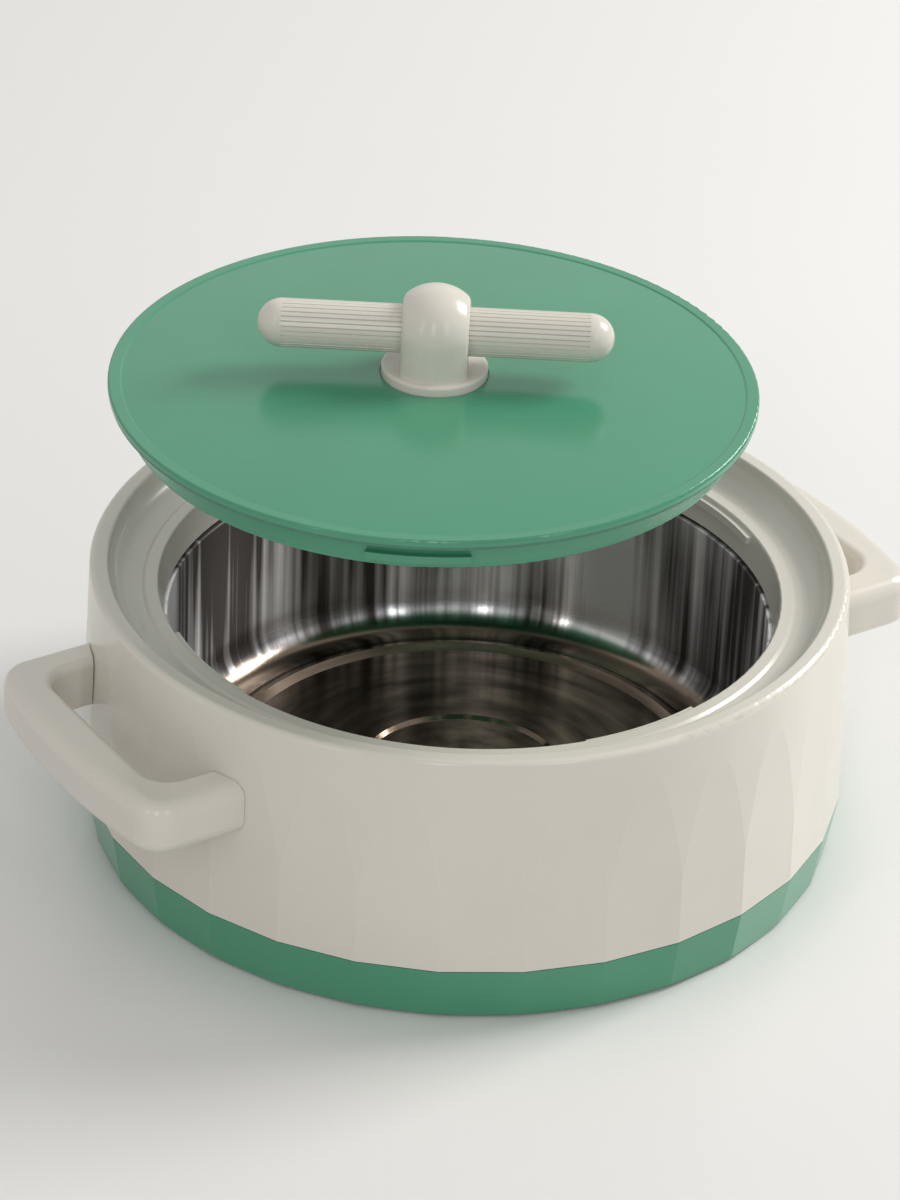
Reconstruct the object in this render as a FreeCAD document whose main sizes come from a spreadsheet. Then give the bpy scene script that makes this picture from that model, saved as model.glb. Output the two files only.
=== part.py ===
"""Insulated serving casserole with a lift-off, twist-locking lid.

The origin is the centre of the base on the table. +Z is up and +X points at the right handle.
The lid is modelled raised above the mouth and turned to its unlocked angle.
All lengths are in millimetres and all angles in degrees.
"""
import FreeCAD, Part
import math
import os
import Sketcher

# Driving dimensions: each one is a cell of the document's sheet
SIZES = {
    # Outer shell
    "rim_radius": 130.0,        # outside of the rim
    "rim_height": 100.0,        # top of the rim above the table
    "rim_width": 6.4,           # flat ring on top of the rim
    "rim_round": 2.2,           # outer edge of the rim
    "rim_inner_round": 0.9,     # inner edge of the rim
    "shell_flare": 2.8,         # how far the facets' corners at the base stand outside the rim
    "facet_count": 30,
    "facet_bite": 0.45,         # how far the round stands outside the facets' corners there
    "facet_fade": 12.0,         # below the rim, where the facets have faded into the round
    "shell_wall": 2.6,
    "foot_thickening": 0.7,     # how much thicker the shell's wall is at its foot
    "cove_radius": 9.0,         # hollow between the rim and the ledge
    "ledge_drop": 9.0,          # crown of the ledge below the rim
    "gutter_drop": 0.8,         # floor of the cove below the crown of the ledge
    "ledge_width": 5.4,
    "ledge_round": 0.7,
    "gutter_width": 11.4,       # from the inside of the rim to the foot of the ledge
    "collar_depth": 11.0,
    "collar_wall": 2.5,
    "collar_draft": 11.6,
    # Bayonet
    "lug_count": 4,
    "rib_span": 23.0,
    "rib_reach": 1.9,
    "rib_drop": 1.3,            # top of the rib below the ledge
    "rib_thickness": 2.4,
    "lug_span": 18.5,
    "lug_thickness": 3.0,
    "lug_gap": 0.4,             # between a lug and the rib above it, and to the collar
    "skirt_gap": 2.3,           # between the skirt and the collar
    "twist_angle": 35.0,
    # Base cover
    "band_height": 20.5,        # seam between the shell and the base
    "seam_gap": 0.3,
    "base_taper": 3.2,          # how far the facets lean in over the height of the base
    "base_round": 5.0,
    "base_wall": 2.6,
    "floor_recess": 1.5,
    "foot_width": 13.0,
    "spigot_height": 5.0,
    "spigot_wall": 2.0,
    "spigot_ease": 0.4,         # how much further in the lip stands than its fit
    "fit_gap": 0.3,
    # Steel bowl
    "steel": 0.8,
    "bowl_inset": 3.4,          # inside of the bowl from the collar's mouth
    "bowl_floor": 13.0,         # inside floor above the table
    "bowl_corner": 12.0,
    "bead_inset": 17.4,         # pressed ring, from the bowl's wall
    "bead_height": 1.6,
    "bead_width": 4.0,
    "plateau_inset": 37.4,      # raised middle of the floor, from the bowl's wall
    "plateau_height": 1.3,
    "plateau_width": 30.0,      # flat ring of the raised middle, outside its dimple
    "gasket_thickness": 1.0,
    "flange_width": 5.2,        # reach of the bowl's flange outside its wall
    # Handles
    "handle_gap": 0.2,          # dark seam between a handle and the shell
    "handle_stand_out": 30.5,   # outermost point of a handle from the rim
    "handle_bow": 6.0,          # how far the middle of the grip bows outside its corners
    "handle_half_length": 53.0,
    "handle_low": 57.0,
    "handle_depth": 19.0,
    "grip_width": 15.5,
    "leg_width": 14.0,
    "handle_corner": 11.0,
    "opening_corner": 10.0,
    "handle_top_round": 5.5,
    "handle_under_round": 4.5,
    "handle_inner_round": 3.0,
    # Screws
    "screw_radius": 1.75,
    "screw_play": 0.1,
    "screw_head_radius": 3.6,
    "screw_head": 2.6,
    "screw_set_back": 16.0,     # handle screws' seats inside the shell's inner face
    "handle_screw_length": 20.0,
    "base_screw_length": 14.0,
    "drive_radius": 1.5,
    "drive_depth": 1.4,
    "boss_radius": 5.2,
    "boss_depth": 12.0,
    "boss_height": 24.0,
    "web_thickness": 2.5,
    "base_screw_inset": 14.0,   # screws from the corners of the facets
    "base_screw_count": 4,
    # Lid
    "lid_overhang": 2.2,        # edge of the lid outside the collar's mouth
    "lid_wall": 2.2,
    "flange_thickness": 1.8,
    "lip_height": 0.35,
    "lip_width": 4.0,
    "lid_edge_round": 0.8,
    "crown_height": 3.2,
    "crown_radius": 1180.0,
    "skirt_depth": 13.0,
    "liner_thickness": 1.5,
    "liner_dish": 3.0,
    "liner_wall": 1.8,
    "liner_spigot": 4.0,
    "seal_thickness": 1.0,
    "seal_width": 3.6,
    "seat_gap": 0.3,
    "slip_gap": 0.1,
    # Knob
    "disc_radius": 18.0,
    "disc_gap": 0.45,
    "disc_pocket": 1.0,
    "disc_height": 3.3,
    "disc_round": 1.2,
    "post_radius": 15.8,
    "post_width": 22.5,
    "post_round": 3.4,
    "bar_height": 12.3,         # axis of the bar above the disc
    "bar_radius": 8.2,
    "bar_length": 119.0,
    "flute_count": 30,
    "flute_depth": 0.45,
    "flute_width": 0.9,
    "dome_length": 8.2,
    "stem_radius": 5.0,
    "stem_gap": 0.2,
    "stem_length": 6.5,
    "hub_radius": 11.0,
    "hub_length": 4.5,
    "washer_radius": 8.0,
    "washer_thickness": 1.2,
    "knob_screw_radius": 2.0,
    "knob_screw_length": 21.0,
    # Rest pose of the lid: how it is held above the mouth
    "lift_height": 74.0,
    "shift_back": 8.2,
    "shift_left": 12.2,
}

doc = FreeCAD.newDocument("Casserole")


class Size:
    """A length that knows its value and the expression that binds it to the sheet."""

    def __init__(self, text, value):
        self.text = text
        self.value = float(value)

    def _join(self, sign, other, result):
        other_text = other.text if isinstance(other, Size) else repr(float(other))
        return Size("(%s %s %s)" % (self.text, sign, other_text), result)

    def __add__(self, other):
        return self._join("+", other, self.value + number(other))

    def __sub__(self, other):
        return self._join("-", other, self.value - number(other))

    def __mul__(self, other):
        return self._join("*", other, self.value * number(other))

    def __truediv__(self, other):
        return self._join("/", other, self.value / number(other))

    def __neg__(self):
        return Size("(-1 * %s)" % self.text, -self.value)

    def tan(self):
        return Size("tan(%s * 1deg)" % self.text, math.tan(math.radians(self.value)))

    def cos(self):
        return Size("cos(%s * 1deg)" % self.text, math.cos(math.radians(self.value)))


def number(size):
    return size.value if isinstance(size, Size) else float(size)


def write_sheet():
    """Put every driving dimension in the sheet and return them by name."""
    sheet = doc.addObject("Spreadsheet::Sheet", "Sizes")
    named = {}
    for row, (name, value) in enumerate(SIZES.items(), start=1):
        sheet.set("A%d" % row, name)
        sheet.set("B%d" % row, str(value))
        sheet.setAlias("B%d" % row, name)
        named[name] = Size("Sizes.%s" % name, value)
    doc.recompute()
    return named


S = write_sheet()
ZERO = Size("0", 0.0)


def bind(feature, name, size):
    """Set a property from the sheet and keep it bound."""
    setattr(feature, name, int(number(size)) if name == "Occurrences" else number(size))
    if isinstance(size, Size):
        feature.setExpression(name, size.text)


def new_body(label):
    body = doc.addObject("PartDesign::Body", label)
    body.Label = label
    return body


def origin_feature(body, role):
    return next(item for item in body.Origin.OriginFeatures if item.Role == role)


def outline(body, name, role, corners, arcs=None):
    """A closed outline on one of the body's origin planes, every corner bound to the sheet.

    arcs maps the number of the corner where an arc starts to its radius: a positive radius
    bulges to the left of the way from that corner to the next, a negative one to the right.
    """
    arcs = arcs or {}
    sketch = body.newObject("Sketcher::SketchObject", name)
    sketch.AttachmentSupport = [(origin_feature(body, role), "")]
    sketch.MapMode = "FlatFace"
    count = len(corners)
    points = [FreeCAD.Vector(number(u), number(v), 0) for u, v in corners]
    for index in range(count):
        start, end = points[index], points[(index + 1) % count]
        radius = arcs.get(index)
        if radius is None:
            sketch.addGeometry(Part.LineSegment(start, end), False)
        else:
            chord = end - start
            half = chord.Length / 2
            sagitta = abs(number(radius)) - math.sqrt(number(radius) ** 2 - half ** 2)
            side = FreeCAD.Vector(-chord.y, chord.x, 0).normalize()
            bulge = math.copysign(sagitta, number(radius))
            middle = (start + end) * 0.5 + side * bulge
            first, last = (end, start) if bulge > 0 else (start, end)
            sketch.addGeometry(Part.Arc(first, middle, last), False)
    for index in range(count):
        before = (index - 1) % count
        sketch.addConstraint(Sketcher.Constraint(
            "Coincident", before, end_of(before, arcs), index, start_of(index, arcs)))
    for index, (u, v) in enumerate(corners):
        pin_corner(sketch, index, start_of(index, arcs), "DistanceX", u, -2)
        pin_corner(sketch, index, start_of(index, arcs), "DistanceY", v, -1)
    for index, radius in arcs.items():
        size = radius if number(radius) > 0 else -radius
        number_of = sketch.addConstraint(Sketcher.Constraint("Radius", index, number(size)))
        sketch.setExpression("Constraints[%d]" % number_of, size.text)
    return sketch


def start_of(index, arcs):
    """The end of an edge that lies on its own corner: arcs run anticlockwise in a sketch."""
    return 2 if number(arcs.get(index, 0)) > 0 else 1


def end_of(index, arcs):
    return 3 - start_of(index, arcs)


def pin_corner(sketch, index, side, kind, size, axis):
    """Hold one coordinate of a corner: on the axis where it is zero, else at its distance."""
    if number(size) == 0.0:
        sketch.addConstraint(Sketcher.Constraint("PointOnObject", index, side, axis))
        return
    made = sketch.addConstraint(Sketcher.Constraint(kind, -1, 1, index, side, number(size)))
    if isinstance(size, Size):
        sketch.setExpression("Constraints[%d]" % made, size.text)


def revolve(body, sketch, name="Turned", axis="V_Axis", angle=None):
    feature = body.newObject("PartDesign::Revolution", name)
    feature.Profile = sketch
    feature.ReferenceAxis = (sketch, [axis])
    if angle is None:
        feature.Angle = 360
    else:
        feature.Midplane = True
        bind(feature, "Angle", angle)
    doc.recompute()
    return feature


def groove(body, sketch, name, axis="V_Axis"):
    feature = body.newObject("PartDesign::Groove", name)
    feature.Profile = sketch
    feature.ReferenceAxis = (sketch, [axis])
    feature.Angle = 360
    doc.recompute()
    return feature


def pad(body, sketch, name, length, offset=None, midplane=False):
    feature = body.newObject("PartDesign::Pad", name)
    feature.Profile = sketch
    feature.Midplane = midplane
    bind(feature, "Length", length)
    if offset is not None:
        sketch.AttachmentOffset = FreeCAD.Placement(
            FreeCAD.Vector(0, 0, number(offset)), FreeCAD.Rotation())
        sketch.setExpression("AttachmentOffset.Base.z", offset.text)
    doc.recompute()
    return feature


def pocket(body, sketch, name, length):
    """Cut an outline right through to both sides of its plane and prove that it cut."""
    before = body.Shape.Volume
    feature = body.newObject("PartDesign::Pocket", name)
    feature.Profile = sketch
    feature.Midplane = True
    bind(feature, "Length", length)
    doc.recompute()
    if not body.Shape.Volume < before:
        raise RuntimeError("%s cut nothing" % name)
    return feature


def repeat(body, features, name, count, role="Z_Axis"):
    feature = body.newObject("PartDesign::PolarPattern", name)
    feature.Originals = features
    feature.Axis = (origin_feature(body, role), [""])
    feature.Angle = 360
    bind(feature, "Occurrences", count)
    body.Tip = feature
    doc.recompute()
    return feature


def round_edges(body, name, radius, wanted):
    """Fillet the edges of the body that a test picks by their midpoint and length."""
    base = body.Tip
    names = []
    for index, edge in enumerate(base.Shape.Edges, start=1):
        if not edge.Degenerated and wanted(edge):
            names.append("Edge%d" % index)
    if not names:
        raise RuntimeError("%s found no edge" % name)
    feature = body.newObject("PartDesign::Fillet", name)
    feature.Base = (base, names)
    bind(feature, "Radius", radius)
    doc.recompute()
    return feature


def ring_at(radius, height, tolerance=0.02):
    """A test for a level circular edge about the Z axis."""
    def test(edge):
        curve = edge.Curve
        return (isinstance(curve, Part.Circle)
                and abs(curve.Radius - number(radius)) < tolerance
                and abs(curve.Center.z - number(height)) < tolerance
                and abs(curve.Center.x) < tolerance
                and abs(curve.Center.y) < tolerance)
    return test


def boolean(kind, label, base, tool):
    feature = doc.addObject(kind, label)
    feature.Label = label
    feature.Base = base
    feature.Tool = tool
    doc.recompute()
    return feature


def join(label, pieces):
    feature = doc.addObject("Part::MultiFuse", label)
    feature.Label = label
    feature.Shapes = pieces
    doc.recompute()
    return feature


def cylinder(label, radius, length, place):
    feature = doc.addObject("Part::Cylinder", label)
    feature.Label = label
    bind(feature, "Radius", radius)
    bind(feature, "Height", length)
    feature.Placement = place
    return feature


def flat_sided(label, piece, low_flat, low_height, high_flat, high_height):
    """The piece within leaning flat sides, the first one facing +X, given by two flat radii."""
    count = int(number(S["facet_count"]))
    rings = []
    for flat, height in ((low_flat, low_height), (high_flat, high_height)):
        corner = number(flat / half_facet_angle.cos())
        ring = []
        for side in range(count):
            angle = 2 * math.pi * (side + 0.5) / count
            ring.append(FreeCAD.Vector(corner * math.cos(angle), corner * math.sin(angle),
                                       number(height)))
        rings.append(ring)
    low, high = rings
    faces = [Part.Face(Part.makePolygon(ring + ring[:1])) for ring in rings]
    for side in range(count):
        after = (side + 1) % count
        corners = [low[side], low[after], high[after], high[side], low[side]]
        faces.append(Part.Face(Part.makePolygon(corners)))
    prism = doc.addObject("Part::Feature", label + "_flats")
    prism.Shape = Part.makeSolid(Part.makeShell(faces))
    return boolean("Part::Common", label, piece, prism)


# Levels and radii that several pieces share
flare_radius = S["rim_radius"] + S["shell_flare"]
facet_top = S["rim_height"] - S["facet_fade"]
ledge_height = S["rim_height"] - S["ledge_drop"]
gutter_height = ledge_height - S["gutter_drop"]
collar_foot = ledge_height - S["collar_depth"]
rim_inner_radius = S["rim_radius"] - S["rim_width"]
gutter_foot = rim_inner_radius - S["gutter_width"]
mouth_radius = gutter_foot - S["ledge_width"]
bowl_radius = mouth_radius - S["bowl_inset"]
lid_radius = mouth_radius + S["lid_overhang"]
base_screw_circle = flare_radius - S["base_screw_inset"]
handle_reach = S["rim_radius"] + S["handle_stand_out"]
half_facet_angle = Size("(180 / %s)" % S["facet_count"].text, 180.0 / number(S["facet_count"]))
flat_at_band = flare_radius * half_facet_angle.cos()
round_at_band = flare_radius + S["facet_bite"]
flare_slope = (round_at_band - S["rim_radius"]) / (S["rim_height"] - S["band_height"])
round_at_facet_top = S["rim_radius"] + (S["rim_height"] - facet_top) * flare_slope
facet_slope = (flat_at_band - round_at_facet_top) / (facet_top - S["band_height"])
inner_radius = S["rim_radius"] - S["shell_wall"]
shell_foot = S["band_height"] + S["seam_gap"] / 2
steel_top = collar_foot - S["gasket_thickness"] - S["seat_gap"] / 2
flange_outer = bowl_radius + S["flange_width"]
handle_middle = S["handle_low"] + S["handle_depth"] / 2
leg_middle = S["handle_half_length"] - S["leg_width"] / 2
head_seat = inner_radius - S["screw_set_back"]
base_seat = S["floor_recess"] + S["screw_head"]
base_inside = base_seat + S["base_wall"]
shell_inside_foot = flare_radius - S["shell_wall"] - S["foot_thickening"]
lip_outer = shell_inside_foot - S["fit_gap"] - S["spigot_ease"]
lip_inner = lip_outer - S["spigot_wall"]
foot_inner = flare_radius - S["base_taper"] - S["base_round"] - S["foot_width"]


def collar_radius(height):
    """The collar's wall at a height, narrower towards its foot."""
    return mouth_radius - (ledge_height - height) * S["collar_draft"].tan()


# Height of the lid's own zero, the top of its edge, when the lid is closed
closed_height = (ledge_height + S["seat_gap"] + S["seal_thickness"] + S["slip_gap"]
                 + S["flange_thickness"])


def skirt_radius(lid_height):
    """The outside of the lid's skirt at a height in the lid's own frame."""
    return collar_radius(closed_height + lid_height) - S["skirt_gap"]


rib_top = ledge_height - S["rib_drop"]
rib_foot = rib_top - S["rib_thickness"]
lug_top = rib_foot - S["lug_gap"] - closed_height
lug_foot = lug_top - S["lug_thickness"]

lid_place = FreeCAD.Placement(
    FreeCAD.Vector(-number(S["shift_left"]), number(S["shift_back"]),
                   number(closed_height) + number(S["lift_height"])),
    FreeCAD.Rotation(FreeCAD.Vector(0, 0, 1), -number(S["twist_angle"])))


def screw_blank(label, radius, length, head_radius, head, place):
    """A pan-head screw along its own Z axis, its head seat at zero and its tip above."""
    body = new_body(label)
    corners = [
        (ZERO, S["drive_depth"] - head), (S["drive_radius"], S["drive_depth"] - head),
        (S["drive_radius"], -head), (head_radius, -head), (head_radius, ZERO), (radius, ZERO),
        (radius, length - radius), (ZERO, length),
    ]
    sketch = outline(body, label + "_outline", "XZ_Plane", corners)
    revolve(body, sketch, label + "_turned")
    body.Placement = place
    return body


def turn_about_z(angle):
    return FreeCAD.Placement(FreeCAD.Vector(), FreeCAD.Rotation(FreeCAD.Vector(0, 0, 1), angle))


def handle_screw_places():
    """Screws run outwards along X through the shell into the legs of the handles."""
    places = []
    for side in (0, 180):
        for across in (-1, 1):
            place = FreeCAD.Placement(
                FreeCAD.Vector(number(head_seat), across * number(leg_middle),
                               number(handle_middle)),
                FreeCAD.Rotation(FreeCAD.Vector(0, 1, 0), 90))
            places.append(turn_about_z(side).multiply(place))
    return places


def base_screw_places():
    """Screws run upwards through the base cover into bosses of the shell."""
    count = int(number(S["base_screw_count"]))
    places = []
    for index in range(count):
        place = FreeCAD.Placement(
            FreeCAD.Vector(number(base_screw_circle), 0, number(base_seat)),
            FreeCAD.Rotation())
        places.append(turn_about_z(360.0 * (index + 0.5) / count).multiply(place))
    return places


def along(place, distance):
    """The place moved along its own Z axis."""
    return place.multiply(FreeCAD.Placement(FreeCAD.Vector(0, 0, distance), FreeCAD.Rotation()))


def make_outer_shell():
    """Rim, cove, ledge and collar with its ribs, over a side whose facets fade upwards."""
    body = new_body("shell_blank")
    crown_inset = S["gutter_drop"] * 1.5
    thick_foot = gutter_height - S["shell_wall"]
    corners = [
        (round_at_band - flare_slope * S["seam_gap"] / 2, shell_foot),
        (S["rim_radius"], S["rim_height"]),
        (rim_inner_radius, S["rim_height"]),
        (rim_inner_radius, gutter_height),
        (gutter_foot, gutter_height),
        (gutter_foot - crown_inset, ledge_height),
        (mouth_radius, ledge_height),
        (collar_radius(collar_foot), collar_foot),
        (mouth_radius + S["collar_wall"], collar_foot),
        (mouth_radius + S["collar_wall"], thick_foot),
        (rim_inner_radius - S["shell_wall"], thick_foot),
        (inner_radius, ledge_height),
        (shell_inside_foot, shell_foot),
    ]
    revolve(body, outline(body, "shell_outline", "XZ_Plane", corners))
    round_edges(body, "Cove", S["cove_radius"], ring_at(rim_inner_radius, gutter_height))
    round_edges(body, "RimOuter", S["rim_round"], ring_at(S["rim_radius"], S["rim_height"]))
    round_edges(body, "RimInner", S["rim_inner_round"], ring_at(rim_inner_radius, S["rim_height"]))
    crown_edge = ring_at(gutter_foot - crown_inset, ledge_height)
    mouth_edge = ring_at(mouth_radius, ledge_height)
    round_edges(body, "Ledge", S["ledge_round"],
                lambda edge: crown_edge(edge) or mouth_edge(edge))
    root = S["collar_wall"] / 2
    rib = outline(body, "rib_outline", "XZ_Plane", [
        (collar_radius(rib_top) - S["rib_reach"], rib_top),
        (collar_radius(rib_foot) - S["rib_reach"], rib_foot),
        (collar_radius(rib_foot) + root, rib_foot),
        (collar_radius(rib_top) + root, rib_top),
    ])
    rib_turned = revolve(body, rib, "Rib", angle=S["rib_span"])
    repeat(body, [rib_turned], "Ribs", S["lug_count"])
    faceted = shell_facets("shell_faceted", body, ZERO)
    handle_bosses = []
    base_bosses = []
    bores = []
    bore = S["screw_radius"] + S["screw_play"]
    for index, place in enumerate(handle_screw_places()):
        handle_bosses.append(cylinder("handle_boss_%d" % index, S["boss_radius"],
                                      S["boss_depth"], place))
        bores.append(cylinder("handle_bore_%d" % index, bore, S["handle_screw_length"] * 2,
                              along(place, -1)))
    for index, place in enumerate(base_screw_places()):
        lifted = along(place, number(S["base_wall"] + S["fit_gap"]))
        base_bosses.append(cylinder("base_boss_%d" % index, S["boss_radius"],
                                    S["boss_height"], lifted))
        base_bosses.append(web("base_web_%d" % index, ZERO, place))
        bores.append(cylinder("base_bore_%d" % index, bore, S["base_screw_length"], lifted))
    # the handle bosses end inside the wall, on a round that lies between its two faces
    in_wall = cylinder("in_wall", S["rim_radius"] - S["shell_wall"] / 4, S["rim_height"],
                       FreeCAD.Placement())
    clipped = boolean("Part::Common", "bosses_clipped", join("handle_bosses", handle_bosses),
                      in_wall)
    bossed = join("shell_bossed", [faceted, clipped] + base_bosses)
    return boolean("Part::Cut", "outer_shell", bossed, join("shell_bores", bores))


def web(label, margin, place):
    """Upright rib that ties a base boss to the shell's wall, a margin larger all round."""
    foot = shell_foot + S["fit_gap"] - margin
    top = base_inside + S["fit_gap"] + S["boss_height"] + margin
    box = doc.addObject("Part::Box", label)
    bind(box, "Length", shell_inside_foot + S["shell_wall"] / 2 + margin - base_screw_circle)
    bind(box, "Width", S["web_thickness"] + margin * 2)
    bind(box, "Height", top - foot)
    shift = FreeCAD.Vector(0, -box.Width.Value / 2, number(foot - base_seat))
    box.Placement = place.multiply(FreeCAD.Placement(shift, FreeCAD.Rotation()))
    return box


def shell_facets(label, body, gap):
    """Facets that fade into the round below the rim, on a side that stands a gap further out."""
    top = S["rim_height"] + S["ledge_drop"]
    return flat_sided(label, body, flat_at_band + S["band_height"] * facet_slope + gap, ZERO,
                      flat_at_band - (top - S["band_height"]) * facet_slope + gap, top)


def make_envelope():
    """The space that the handles leave for the shell and the seam round it."""
    body = new_body("envelope_round")
    low = S["band_height"] / 2
    gap = S["handle_gap"]
    revolve(body, outline(body, "envelope_outline", "XZ_Plane", [
        (ZERO, low), (round_at_band + low * flare_slope + gap, low),
        (S["rim_radius"] + gap, S["rim_height"]), (ZERO, S["rim_height"])]))
    return shell_facets("envelope", body, gap)


def make_base_cover():
    """Faceted cup that closes the foam from below, with a lip inside the shell."""
    body = new_body("base_blank")
    top = S["band_height"] - S["seam_gap"] / 2
    wall_inner = lip_inner + S["spigot_wall"]
    # the ring that it stands on is thick, so that the screws' heads are sunk in it
    corners = [
        (ZERO, S["floor_recess"]),
        (foot_inner, S["floor_recess"]),
        (foot_inner + S["floor_recess"], ZERO),
        (flare_radius, ZERO),
        (flare_radius + S["seam_gap"], top),
        (lip_outer, top),
        (lip_outer, top + S["spigot_height"]),
        (lip_inner, top + S["spigot_height"]),
        (lip_inner, top - S["spigot_wall"]),
        (wall_inner, top - S["spigot_wall"] * 2),
        (wall_inner - S["base_taper"], base_inside),
        (foot_inner, base_inside),
        (foot_inner, S["floor_recess"] + S["base_wall"]),
        (ZERO, S["floor_recess"] + S["base_wall"]),
    ]
    revolve(body, outline(body, "base_outline", "XZ_Plane", corners))
    round_edges(body, "BaseEdge", S["base_round"] + S["base_taper"],
                ring_at(flare_radius, ZERO))
    faceted = flat_sided("base_faceted", body,
                         flat_at_band - S["base_taper"] * 2, -S["band_height"],
                         flat_at_band + S["base_taper"], S["band_height"] * 2)
    holes = []
    for index, place in enumerate(base_screw_places()):
        lifted = along(place, number(S["base_wall"]))
        holes.append(cylinder("base_hole_%d" % index, S["screw_radius"] + S["screw_play"] * 2,
                              S["base_screw_length"], place))
        holes.append(cylinder("base_sink_%d" % index, S["screw_head_radius"] + S["fit_gap"],
                              S["screw_head"] * 3, along(place, -3 * number(S["screw_head"]))))
        holes.append(cylinder("base_clear_%d" % index, S["boss_radius"] + S["fit_gap"],
                              S["boss_height"] * 2, lifted))
        holes.append(web("base_slot_%d" % index, S["fit_gap"], place))
    return boolean("Part::Cut", "base_cover", faceted, join("base_holes", holes))


def bowl_outline(offset):
    """The bowl's inner side, from the mouth down to the middle, moved outwards by an offset."""
    radius = bowl_radius
    floor = S["bowl_floor"]
    bead = radius - S["bead_inset"]
    slope = S["bead_height"]
    crest = S["bead_width"] / 5
    plateau = radius - S["plateau_inset"]
    dimple = plateau - S["plateau_width"]
    step = S["plateau_height"]
    return [
        (radius + offset, steel_top),
        (radius + offset, floor - offset),
        (bead + S["bead_width"] + offset / 2, floor - offset),
        (bead + crest + offset / 2, floor + slope - offset),
        (bead - crest - offset / 2, floor + slope - offset),
        (bead - S["bead_width"] - offset / 2, floor - offset),
        (plateau + offset / 2, floor - offset),
        (plateau - step + offset / 2, floor + step - offset),
        (dimple - offset / 2, floor + step - offset),
        (dimple - step - offset / 2, floor - offset),
        (ZERO, floor - offset),
    ]


def make_inner_bowl():
    """Drawn steel bowl: flange under the collar, straight wall, pressed rings in the floor."""
    body = new_body("inner_bowl")
    inside = bowl_outline(ZERO)
    outside = bowl_outline(S["steel"])
    flange = [
        (flange_outer, steel_top - S["steel"]),
        (flange_outer, steel_top),
    ]
    outside[0] = (outside[0][0], steel_top - S["steel"])
    corners = inside[::-1] + flange[::-1] + outside
    revolve(body, outline(body, "bowl_outline", "XZ_Plane", corners))
    round_edges(body, "CornerInside", S["bowl_corner"],
                ring_at(bowl_radius, S["bowl_floor"]))
    round_edges(body, "CornerOutside", S["bowl_corner"] + S["steel"],
                ring_at(bowl_radius + S["steel"], S["bowl_floor"] - S["steel"]))
    round_edges(body, "Mouth", S["steel"] * 0.9, ring_at(bowl_radius, steel_top))
    return body


def make_bowl_gasket():
    """Flat ring squeezed between the collar's foot and the bowl's flange."""
    body = new_body("bowl_gasket")
    inner = collar_radius(collar_foot) + S["seat_gap"]
    low = steel_top + S["seat_gap"] / 4
    high = collar_foot - S["seat_gap"] / 4
    corners = [(inner, low), (flange_outer, low), (flange_outer, high), (inner, high)]
    revolve(body, outline(body, "gasket_outline", "XZ_Plane", corners))
    return body


def make_body_foam():
    """Foamed insulation that fills the space between the shell, the base and the bowl."""
    body = new_body("foam_blank")
    gap = S["fit_gap"]
    under_bowl = S["bowl_floor"] - S["steel"] - gap
    bowl_side = bowl_radius + S["steel"] + gap
    lip_top = S["band_height"] + S["spigot_height"] + gap
    collar_outer = mouth_radius + S["collar_wall"] + gap
    under_cove = gutter_height - S["shell_wall"] - gap
    corners = [
        (ZERO, S["floor_recess"] + S["base_wall"] + gap),
        (foot_inner - gap, S["floor_recess"] + S["base_wall"] + gap),
        (foot_inner - gap, base_inside + gap),
        (lip_inner - S["base_taper"] - gap, base_inside + gap),
        (lip_inner - gap, lip_top),
        (inner_radius - gap, lip_top),
        (inner_radius - gap, ledge_height - S["shell_wall"] - gap),
        (rim_inner_radius - S["shell_wall"], under_cove),
        (collar_outer, under_cove),
        (collar_outer, steel_top - S["steel"] - gap),
        (bowl_side, steel_top - S["steel"] - gap),
        (bowl_side, under_bowl),
        (ZERO, under_bowl),
    ]
    revolve(body, outline(body, "foam_outline", "XZ_Plane", corners))
    round_edges(body, "FoamCorner", S["bowl_corner"] + S["steel"] + gap,
                ring_at(bowl_side, under_bowl))
    hollows = []
    room = S["boss_radius"] + gap
    below_head = number(S["screw_head"] + gap)
    for index, place in enumerate(handle_screw_places()):
        hollows.append(cylinder("foam_bore_%d" % index, room, S["handle_screw_length"] * 2,
                                along(place, -below_head)))
    for index, place in enumerate(base_screw_places()):
        lifted = along(place, number(S["base_wall"] + gap))
        hollows.append(cylinder("foam_well_%d" % index, room, S["boss_height"] + gap, lifted))
        hollows.append(web("foam_slot_%d" % index, gap, place))
    return boolean("Part::Cut", "body_foam", body, join("foam_hollows", hollows))


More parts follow.
